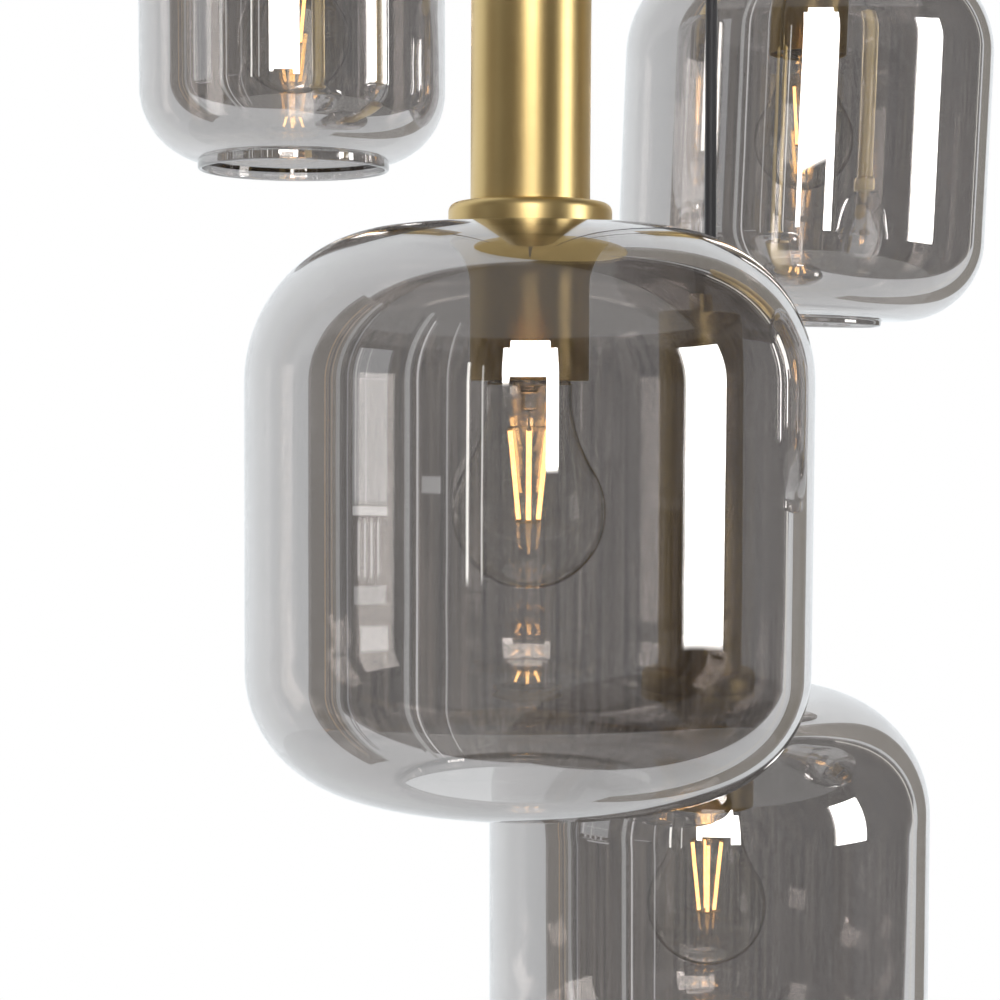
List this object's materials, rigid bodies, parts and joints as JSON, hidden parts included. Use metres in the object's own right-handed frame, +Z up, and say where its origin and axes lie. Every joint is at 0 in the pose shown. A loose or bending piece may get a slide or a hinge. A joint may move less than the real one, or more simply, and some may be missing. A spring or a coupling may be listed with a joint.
{
  "type": "cluster pendant light",
  "caption": "Cluster ceiling pendant: smoked glass jar shades on brass tubes hang at different heights by black cords from a round pan.",
  "frame": {"origin": "centre of the ceiling pan, in the ceiling plane", "axes": "+Z up, +X to the right and +Y away from the viewer, seen as pictured"},
  "size_m": [0.5948, 0.6551, 1.335],
  "materials": {
    "brass": "satin, brushed round",
    "smoked_glass": "smoked, half mirrored",
    "clear_glass": "clear",
    "filament": "lit strips on a clear stem",
    "cord": "black, fine woven",
    "porcelain": "glazed",
    "zinc_steel": "zinc plated",
    "nickel": "nickel plated",
    "connector_plastic": "matt"
  },
  "bodies": {
    "canopy": {"canopy_pan": "brass", "mounting_bracket": "zinc_steel", "terminal_block": "connector_plastic", "cap_nuts": "brass", "cord_grips": "brass"},
    "front_hanger": {"front_cord": "cord"},
    "front_pendant": {"front_cord_gland": "brass", "front_tube": "brass", "front_collar": "brass", "front_shade": "smoked_glass", "front_socket_cup": "brass", "front_lampholder": "porcelain", "front_threaded_rod": "zinc_steel"},
    "front_lamp_cap": {"front_bulb_cap": "nickel"},
    "front_lamp": {"front_bulb_glass": "clear_glass", "front_bulb_filament": "filament"},
    "left_hanger": {"left_cord": "cord"},
    "left_pendant": {"left_cord_gland": "brass", "left_tube": "brass", "left_collar": "brass", "left_shade": "smoked_glass", "left_socket_cup": "brass", "left_lampholder": "porcelain", "left_threaded_rod": "zinc_steel"},
    "left_lamp_cap": {"left_bulb_cap": "nickel"},
    "left_lamp": {"left_bulb_glass": "clear_glass", "left_bulb_filament": "filament"},
    "back_hanger": {"back_cord": "cord"},
    "back_pendant": {"back_cord_gland": "brass", "back_tube": "brass", "back_collar": "brass", "back_shade": "smoked_glass", "back_socket_cup": "brass", "back_lampholder": "porcelain", "back_threaded_rod": "zinc_steel"},
    "back_lamp_cap": {"back_bulb_cap": "nickel"},
    "back_lamp": {"back_bulb_glass": "clear_glass", "back_bulb_filament": "filament"},
    "centre_hanger": {"centre_cord": "cord"},
    "centre_pendant": {"centre_cord_gland": "brass", "centre_tube": "brass", "centre_collar": "brass", "centre_shade": "smoked_glass", "centre_socket_cup": "brass", "centre_lampholder": "porcelain", "centre_threaded_rod": "zinc_steel"},
    "centre_lamp_cap": {"centre_bulb_cap": "nickel"},
    "centre_lamp": {"centre_bulb_glass": "clear_glass", "centre_bulb_filament": "filament"},
    "right_hanger": {"right_cord": "cord"},
    "right_pendant": {"right_cord_gland": "brass", "right_tube": "brass", "right_collar": "brass", "right_shade": "smoked_glass", "right_socket_cup": "brass", "right_lampholder": "porcelain", "right_threaded_rod": "zinc_steel"},
    "right_lamp_cap": {"right_bulb_cap": "nickel"},
    "right_lamp": {"right_bulb_glass": "clear_glass", "right_bulb_filament": "filament"}
  },
  "joints": [
    {"name": "front_swing", "type": "hinge", "parent": "canopy", "child": "front_hanger", "pos_m": [-0.09143, -0.2154, -0.042], "axis": [-0.9205, 0.3907, 0], "range_deg": [-3, 25]},
    {"name": "front_tilt", "type": "hinge", "parent": "front_hanger", "child": "front_pendant", "pos_m": [-0.09143, -0.2154, -0.7], "axis": [-0.3907, -0.9205, 0], "range_deg": [-8, 8]},
    {"name": "front_lamp_unscrew", "type": "slide", "parent": "front_pendant", "child": "front_lamp_cap", "axis": [-0.0048, 0.002, -1], "range_m": [0, 0.02]},
    {"name": "front_lamp_turn", "type": "hinge", "parent": "front_lamp_cap", "child": "front_lamp", "pos_m": [-0.09269, -0.21486, -0.962], "axis": [-0.0048, 0.002, -1], "range_deg": [-1990.95, 2]},
    {"name": "left_swing", "type": "hinge", "parent": "canopy", "child": "left_hanger", "pos_m": [-0.2154, 0.09143, -0.042], "axis": [0.3907, 0.9205, 0], "range_deg": [-3, 25]},
    {"name": "left_tilt", "type": "hinge", "parent": "left_hanger", "child": "left_pendant", "pos_m": [-0.2154, 0.09143, -0.462], "axis": [-0.9205, 0.3907, 0], "range_deg": [-8, 8]},
    {"name": "left_lamp_unscrew", "type": "slide", "parent": "left_pendant", "child": "left_lamp_cap", "axis": [0, 0, -1], "range_m": [0, 0.02]},
    {"name": "left_lamp_turn", "type": "hinge", "parent": "left_lamp_cap", "child": "left_lamp", "pos_m": [-0.2154, 0.09143, -0.724], "axis": [0, 0, -1], "range_deg": [-1990.95, 2]},
    {"name": "back_swing", "type": "hinge", "parent": "canopy", "child": "back_hanger", "pos_m": [0.09143, 0.2154, -0.042], "axis": [0.9205, -0.3907, 0], "range_deg": [-3, 25]},
    {"name": "back_tilt", "type": "hinge", "parent": "back_hanger", "child": "back_pendant", "pos_m": [0.09143, 0.2154, -0.5], "axis": [0.3907, 0.9205, 0], "range_deg": [-8, 8]},
    {"name": "back_lamp_unscrew", "type": "slide", "parent": "back_pendant", "child": "back_lamp_cap", "axis": [-0.0369, 0.0157, -0.9992], "range_m": [0, 0.02]},
    {"name": "back_lamp_turn", "type": "hinge", "parent": "back_lamp_cap", "child": "back_lamp", "pos_m": [0.08175, 0.21951, -0.76179], "axis": [-0.0369, 0.0157, -0.9992], "range_deg": [-1990.95, 2]},
    {"name": "centre_swing", "type": "hinge", "parent": "canopy", "child": "centre_hanger", "pos_m": [0, 0, -0.042], "axis": [0.9272, 0.3746, 0], "range_deg": [-4, 4]},
    {"name": "centre_tilt", "type": "hinge", "parent": "centre_hanger", "child": "centre_pendant", "pos_m": [0, 0, -0.91], "axis": [-0.3746, 0.9272, 0], "range_deg": [-5, 5]},
    {"name": "centre_lamp_unscrew", "type": "slide", "parent": "centre_pendant", "child": "centre_lamp_cap", "axis": [0, 0, -1], "range_m": [0, 0.02]},
    {"name": "centre_lamp_turn", "type": "hinge", "parent": "centre_lamp_cap", "child": "centre_lamp", "pos_m": [0, 0, -1.172], "axis": [0, 0, -1], "range_deg": [-1990.95, 2]},
    {"name": "right_swing", "type": "hinge", "parent": "canopy", "child": "right_hanger", "pos_m": [0.2154, -0.09143, -0.042], "axis": [-0.3907, -0.9205, 0], "range_deg": [-3, 25]},
    {"name": "right_tilt", "type": "hinge", "parent": "right_hanger", "child": "right_pendant", "pos_m": [0.2154, -0.09143, -0.64], "axis": [0.9205, -0.3907, 0], "range_deg": [-8, 8]},
    {"name": "right_lamp_unscrew", "type": "slide", "parent": "right_pendant", "child": "right_lamp_cap", "axis": [0, 0, -1], "range_m": [0, 0.02]},
    {"name": "right_lamp_turn", "type": "hinge", "parent": "right_lamp_cap", "child": "right_lamp", "pos_m": [0.2154, -0.09143, -0.902], "axis": [0, 0, -1], "range_deg": [-1990.95, 2]}
  ],
  "couplings": [
    {"joint": "front_lamp_turn", "follows": "front_lamp_unscrew", "rad_per_m": -1735.7},
    {"joint": "left_lamp_turn", "follows": "left_lamp_unscrew", "rad_per_m": -1735.7},
    {"joint": "back_lamp_turn", "follows": "back_lamp_unscrew", "rad_per_m": -1735.7},
    {"joint": "centre_lamp_turn", "follows": "centre_lamp_unscrew", "rad_per_m": -1735.7},
    {"joint": "right_lamp_turn", "follows": "right_lamp_unscrew", "rad_per_m": -1735.7}
  ]
}
